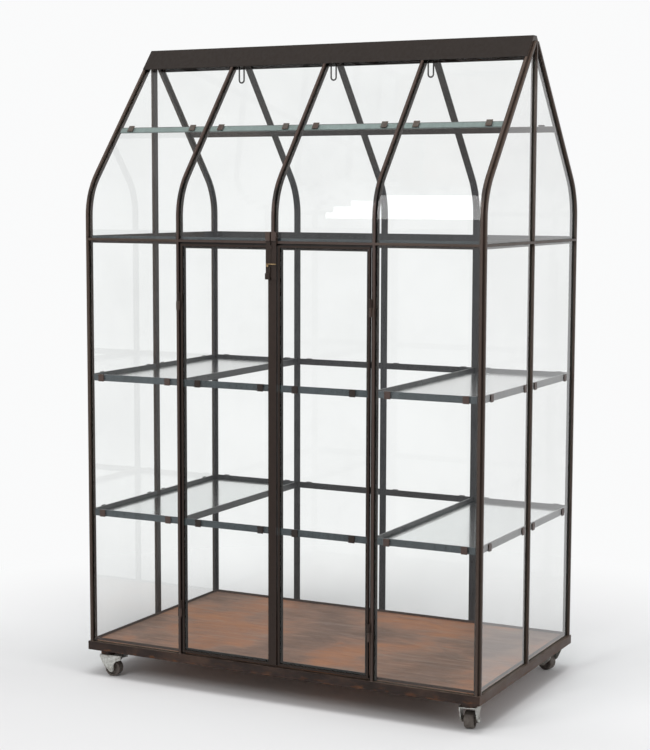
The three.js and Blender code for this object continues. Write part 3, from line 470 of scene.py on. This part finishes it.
def zinc(name):
    """Zinc plate with spangle, dull spots and a little grime."""
    s = Shader(name)
    spangle = s.noise(scale=120, detail=5, rough=0.7)
    grime = s.noise(scale=38, detail=6, rough=0.65, stretch=(1, 1, 1.6), place=(0.4, 0.1, 0))
    body = s.colours(
        spangle,
        (0.30, (0.30, 0.295, 0.27)),
        (0.50, (0.50, 0.50, 0.47)),
        (0.70, (0.68, 0.69, 0.66)),
    )
    return s.surface(
        Base_Color=s.mix(s.ramp(grime, 0.5, 0.72, end=0.75), body, (0.14, 0.115, 0.085)),
        Metallic=0.75,
        Roughness=s.ramp(grime, 0.35, 0.7, start=0.34, end=0.6),
        Normal=s.bump(spangle, strength=0.25, distance=0.0005),
    )


def tread(name):
    """Scuffed dark tread under a film of dust."""
    s = Shader(name)
    scuff = s.noise(scale=160, detail=6, rough=0.7, stretch=(1, 1, 2.5))
    dust = s.noise(scale=45, detail=5, rough=0.6)
    body = s.colours(
        scuff,
        (0.32, (0.050, 0.040, 0.033)),
        (0.55, (0.095, 0.078, 0.066)),
        (0.75, (0.19, 0.165, 0.145)),
    )
    return s.surface(
        Base_Color=s.mix(s.ramp(dust, 0.48, 0.75, end=0.5), body, (0.24, 0.215, 0.19)),
        Roughness=s.ramp(scuff, *NOISE_MIDDLE, start=0.48, end=0.7),
        Normal=s.bump(scuff, strength=0.3, distance=0.0004),
    )


def plastic(name):
    """Black moulded plastic, rubbed in places."""
    s = Shader(name)
    grain = s.noise(scale=520, detail=2, rough=0.5)
    wear = s.noise(scale=70, detail=5, rough=0.65)
    return s.surface(
        Base_Color=s.colours(wear, (0.35, (0.011, 0.010, 0.010)), (0.7, (0.035, 0.032, 0.030))),
        Roughness=s.ramp(wear, *NOISE_MIDDLE, start=0.38, end=0.55),
        Normal=s.bump(grain, strength=0.25, distance=0.0003),
    )


def brass(name):
    """Dull, tarnished brass."""
    s = Shader(name)
    tarnish = s.noise(scale=150, detail=5, rough=0.65)
    return s.surface(
        Base_Color=s.colours(tarnish, (0.35, (0.16, 0.105, 0.055)), (0.65, (0.42, 0.30, 0.16))),
        Metallic=0.9,
        Roughness=s.ramp(tarnish, *NOISE_MIDDLE, start=0.3, end=0.5),
        Normal=s.bump(tarnish, strength=0.2, distance=0.0003),
    )


def glass(name, axis, mirror, tint=CLEAR_TINT, edge=EDGE_GREEN, haze=0.0, edge_along=False):
    """Clear sheet that lets lamps through and mirrors at a slant, with greenish edges.

    The axis is the normal of its faces, or, with edge_along, the normal of the edges that show.
    """
    s = Shader(name)
    on_edge = s.ramp(s.normal_part(axis), *EDGE_LIMITS)
    if not edge_along:
        on_edge = s.minus(1.0, on_edge)
    smear = s.noise(scale=3.2, detail=4, rough=0.6)
    clear = s.mix(s.ramp(smear, *SMEAR_LIMITS), tint, scaled(tint, SMEAR_TINT))
    through = s.node("ShaderNodeBsdfTransparent")
    s.link(s.mix(on_edge, clear, edge), through.inputs["Color"])
    gloss = s.node("ShaderNodeBsdfGlossy")
    gloss.inputs["Roughness"].default_value = haze
    slant = s.node("ShaderNodeFresnel")
    slant.inputs["IOR"].default_value = mirror
    path = s.node("ShaderNodeLightPath")
    lamp_ray = s.most(path.outputs["Is Shadow Ray"], path.outputs["Is Diffuse Ray"])
    leaving = s.node("ShaderNodeNewGeometry").outputs["Backfacing"]
    plain = s.minus(1.0, s.most(lamp_ray, leaving))
    both_faces = s.maths("MINIMUM", s.times(slant.outputs[0], 2.0), 1.0)
    mixer = s.node("ShaderNodeMixShader")
    s.link(s.times(both_faces, plain), mixer.inputs["Fac"])
    s.link(through.outputs[0], mixer.inputs[1])
    s.link(gloss.outputs[0], mixer.inputs[2])
    return s.show(mixer)


def give(material, *names):
    for name in names:
        slots = NODES[name].material_slots
        if not slots:
            NODES[name].data.materials.append(material)
        for one in slots:
            one.material = material


def nodes_with(part):
    return [name for name in NODES if part in name]


def smoothing():
    """A modifier's node group that smooths faces and keeps edges sharper than SHARP_EDGE."""
    tree = bpy.data.node_groups.new("smooth_by_angle", "GeometryNodeTree")
    tree.interface.new_socket("Geometry", in_out="INPUT", socket_type="NodeSocketGeometry")
    tree.interface.new_socket("Geometry", in_out="OUTPUT", socket_type="NodeSocketGeometry")
    start = tree.nodes.new("NodeGroupInput")
    end = tree.nodes.new("NodeGroupOutput")
    faces = tree.nodes.new("GeometryNodeSetShadeSmooth")
    faces.domain = "FACE"
    edges = tree.nodes.new("GeometryNodeSetShadeSmooth")
    edges.domain = "EDGE"
    edges.inputs["Shade Smooth"].default_value = False
    angle = tree.nodes.new("GeometryNodeInputMeshEdgeAngle")
    sharp = tree.nodes.new("FunctionNodeCompare")
    sharp.data_type = "FLOAT"
    sharp.operation = "GREATER_THAN"
    sharp.inputs[1].default_value = SHARP_EDGE
    tree.links.new(start.outputs[0], faces.inputs["Geometry"])
    tree.links.new(angle.outputs["Unsigned Angle"], sharp.inputs[0])
    tree.links.new(faces.outputs["Geometry"], edges.inputs["Geometry"])
    tree.links.new(sharp.outputs[0], edges.inputs["Selection"])
    tree.links.new(edges.outputs["Geometry"], end.inputs[0])
    return tree


def soften():
    """Smooth shading everywhere, and rounded edges on all but the glass."""
    smooth = smoothing()
    for name in NODES:
        NODES[name].modifiers.new("smooth", "NODES").node_group = smooth
    for name in NODES:
        if any(part in name for part in ("pane", "head", "glass")):
            continue
        bevel = NODES[name].modifiers.new("edge", "BEVEL")
        bevel.width = BEVEL_WIDTH
        bevel.segments = BEVEL_SEGMENTS
        bevel.limit_method = "ANGLE"
        bevel.angle_limit = BEVEL_EDGE
        bevel.harden_normals = True


def weld_path(x, y, along_y):
    """Three sides of a web's end, round its foot; x and y are the middle of that end."""
    if along_y:
        back = y - math.copysign(WELD_REACH, y)
        return [(x - WELD_HALF, back), (x - WELD_HALF, y), (x + WELD_HALF, y), (x + WELD_HALF, back)]
    back = x - math.copysign(WELD_REACH, x)
    return [(back, y - WELD_HALF), (x, y - WELD_HALF), (x, y + WELD_HALF), (back, y + WELD_HALF)]


def bead(mesh, path):
    """A rippled bead of weld metal along a path of straight runs."""
    points = []
    for start, end in zip(path, path[1:]):
        steps = max(2, round(math.dist(start, end) / WELD_STEP))
        for i in range(steps):
            points.append(Vector(start).lerp(Vector(end), i / steps))
    points.append(Vector(path[-1]))
    rings = []
    for i, point in enumerate(points):
        before, after = points[max(i - 1, 0)], points[min(i + 1, len(points) - 1)]
        across = (after - before).normalized().orthogonal()
        swell = 1
        for (size, pace, phase), place in zip((WIDE_RIPPLE, FINE_RIPPLE), point):
            swell += size * math.sin(pace * i + phase * place)
        taper = WELD_TAPER if i in (0, len(points) - 1) else 1.0
        ring = []
        for k in range(WELD_SIDES):
            turn = 2 * math.pi * k / WELD_SIDES
            shift = across * (WELD_RADIUS * swell * taper * math.cos(turn))
            height = WELD_RADIUS * swell * taper * math.sin(turn)
            ring.append(mesh.verts.new((point.x + shift.x, point.y + shift.y, BASE_TOP + height)))
        rings.append(ring)
    for one, two in zip(rings, rings[1:]):
        for k in range(WELD_SIDES):
            following = (k + 1) % WELD_SIDES
            mesh.faces.new((one[k], one[following], two[following], two[k]))
    mesh.faces.new(list(reversed(rings[0])))
    mesh.faces.new(rings[-1])


def welds(material):
    """Beads at the feet of the hoops and gable posts, where their webs stand on the base."""
    mesh = bmesh.new()
    for x in (-END_X, -DOOR_HOOP_X, DOOR_HOOP_X, END_X):
        bead(mesh, weld_path(x, CABINET_MIDDLE - WEB_END_Y, True))
    for x in (-END_X, -DOOR_HOOP_X, 0, DOOR_HOOP_X, END_X):
        bead(mesh, weld_path(x, CABINET_MIDDLE + WEB_END_Y, True))
    for x in (-WEB_END_X, WEB_END_X):
        for y in (-CORNER_WEB_Y, 0, CORNER_WEB_Y):
            bead(mesh, weld_path(x, CABINET_MIDDLE + y, False))
    bmesh.ops.recalc_face_normals(mesh, faces=mesh.faces)
    data = bpy.data.meshes.new("foot_welds")
    mesh.to_mesh(data)
    mesh.free()
    for face in data.polygons:
        face.use_smooth = True
    data.materials.append(material)
    piece = bpy.data.objects.new("foot_welds", data)
    bpy.context.scene.collection.objects.link(piece)
    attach(piece, "cabinet")


def studio():
    """A floor with painted shade, darker in front of the cabinet than behind it, that takes the world's
    tone far off and behind the cabinet, so no horizon shows.
    """
    corners = [(-FLOOR_REACH, -FLOOR_REACH, 0), (FLOOR_REACH, -FLOOR_REACH, 0),
               (FLOOR_REACH, FLOOR_REACH, 0), (-FLOOR_REACH, FLOOR_REACH, 0)]
    mesh = bpy.data.meshes.new("studio_floor")
    mesh.from_pydata(corners, [], [(0, 1, 2, 3)])
    floor = bpy.data.objects.new("studio_floor", mesh)
    bpy.context.scene.collection.objects.link(floor)
    s = Shader("studio_floor")
    length = s.node("ShaderNodeVectorMath", operation="LENGTH")
    s.link(s.coordinates, length.inputs[0])
    distance = length.outputs["Value"]
    back_run = s.parts(s.coordinates)["Y"]
    behind = s.times(s.ramp(distance, *BEHIND_FADE), s.ramp(back_run, *BEHIND_START))
    far = s.most(s.ramp(distance, *FLOOR_FADE), behind)
    path = s.node("ShaderNodeLightPath")
    seen = s.most(path.outputs["Is Camera Ray"], path.outputs["Is Glossy Ray"])
    seen = s.most(seen, path.outputs["Is Transmission Ray"])
    matt = s.node("ShaderNodeBsdfDiffuse")
    # Painted shade on the floor in front of the cabinet
    s.link(s.mix(s.ramp(back_run, *FLOOR_SHADE_RISE), FLOOR_FORE_SHADE, FLOOR_REAR), matt.inputs["Color"])
    glow = s.node("ShaderNodeEmission")
    glow.inputs["Color"].default_value = (*BACKDROP_COLOUR, 1)
    mixer = s.node("ShaderNodeMixShader")
    s.link(s.times(far, seen), mixer.inputs["Fac"])
    s.link(matt.outputs[0], mixer.inputs[1])
    s.link(glow.outputs[0], mixer.inputs[2])
    mesh.materials.append(s.show(mixer))


def world():
    """A dim white light all round, which the camera and mirrors see in the backdrop's tone."""
    made = bpy.data.worlds.new("studio")
    bpy.context.scene.world = made
    made.use_nodes = True
    tree = made.node_tree
    tree.nodes.clear()
    output = tree.nodes.new("ShaderNodeOutputWorld")
    light = tree.nodes.new("ShaderNodeBackground")
    light.inputs["Color"].default_value = (1, 1, 1, 1)
    light.inputs["Strength"].default_value = WORLD_LIGHT
    backdrop = tree.nodes.new("ShaderNodeBackground")
    backdrop.inputs["Color"].default_value = (*BACKDROP_COLOUR, 1)
    path = tree.nodes.new("ShaderNodeLightPath")
    seen = path.outputs["Is Camera Ray"]
    for ray in ("Is Transmission Ray", "Is Glossy Ray"):
        either = tree.nodes.new("ShaderNodeMath")
        either.operation = "MAXIMUM"
        tree.links.new(seen, either.inputs[0])
        tree.links.new(path.outputs[ray], either.inputs[1])
        seen = either.outputs[0]
    mixer = tree.nodes.new("ShaderNodeMixShader")
    tree.links.new(seen, mixer.inputs["Fac"])
    tree.links.new(light.outputs[0], mixer.inputs[1])
    tree.links.new(backdrop.outputs[0], mixer.inputs[2])
    tree.links.new(mixer.outputs[0], output.inputs["Surface"])


def lights():
    for name, (place, target, width, height, radiance, mirrored) in LAMPS.items():
        data = bpy.data.lights.new(name, "AREA")
        data.shape = "RECTANGLE"
        data.size = width
        data.size_y = height
        data.energy = radiance * math.pi * width * height
        obj = bpy.data.objects.new(name, data)
        obj.location = place
        obj.rotation_euler = (Vector(target) - Vector(place)).to_track_quat("-Z", "Y").to_euler()
        obj.visible_glossy = mirrored
        obj.visible_transmission = False
        bpy.context.scene.collection.objects.link(obj)


def materials():
    """The steels first, each with its dark, light and proud tones, then who wears what."""
    door_steel = steel(
        "door_steel", dark=(0.006, 0.005, 0.004), light=(0.025, 0.020, 0.017),
        proud=(0.031, 0.021, 0.017), cover=DOOR_COVER, sheen=0.15)
    hoop_steel = steel(
        "hoop_steel", dark=(0.010, 0.008, 0.007), light=(0.046, 0.037, 0.032),
        proud=(0.054, 0.034, 0.027))
    end_steel = steel(
        "end_steel", dark=(0.014, 0.009, 0.007), light=(0.062, 0.044, 0.035),
        proud=(0.062, 0.042, 0.032))
    # Shelf frames: the grey-blue body is painted light on the steel under the glass; the clips over the
    # glass keep a brown tone
    shelf_steel = steel(
        "shelf_steel", dark=(0.034, 0.036, 0.037), light=(0.090, 0.094, 0.096),
        proud=(0.064, 0.036, 0.027), sheen=0.42)
    cap_steel = steel(
        "cap_steel", dark=(0.007, 0.004, 0.003), light=(0.026, 0.017, 0.012),
        proud=(0.013, 0.009, 0.007), rough=(0.46, 0.62), dents=0.05, sheen=0.25)
    weld_steel = steel(
        "weld_steel", dark=(0.050, 0.036, 0.028), light=(0.150, 0.110, 0.086),
        proud=(0.1, 0.07, 0.055), cover=NO_COVER)
    give(hoop_steel, *NODES)
    give(door_steel, "left_door_frame", "right_door_frame", "meeting_bar", "latch_bolt")
    give(end_steel, "left_end_frame", "right_end_frame", "gable_post_left", "gable_post_right")
    give(shelf_steel, *nodes_with("shelf_frame"))
    give(cap_steel, "ridge_cap")
    give(base_metal("base_metal"), "base_frame")
    give(tray_metal("tray_metal"), "floor_tray")
    wall_glass = glass("wall_glass", axis="Y", mirror=1.3)
    give(wall_glass, *nodes_with("front_pane"), *nodes_with("door_pane"), *nodes_with("back_pane"))
    side_glass = glass("side_glass", axis="X", mirror=1.46)
    give(side_glass, *nodes_with("gable_pane"), *nodes_with("gable_head"))
    give(glass("roof_glass", axis="X", mirror=1.33, edge_along=True), *nodes_with("roof_pane"))
    shelf_glass = glass(
        "shelf_glass", axis="Z", mirror=1.33, tint=SHELF_TINT, edge=SHELF_EDGE_GREEN, haze=0.16)
    give(shelf_glass, *nodes_with("shelf_glass"))
    give(zinc("zinc"), *nodes_with("_fork"))
    give(tread("tread"), *nodes_with("_wheel"))
    give(plastic("pedal_plastic"), *nodes_with("_pedal"))
    give(brass("aged_brass"), "latch_pin")
    welds(weld_steel)


camera()
studio()
world()
lights()
materials()
soften()
bpy.context.scene.view_settings.view_transform = "Standard"
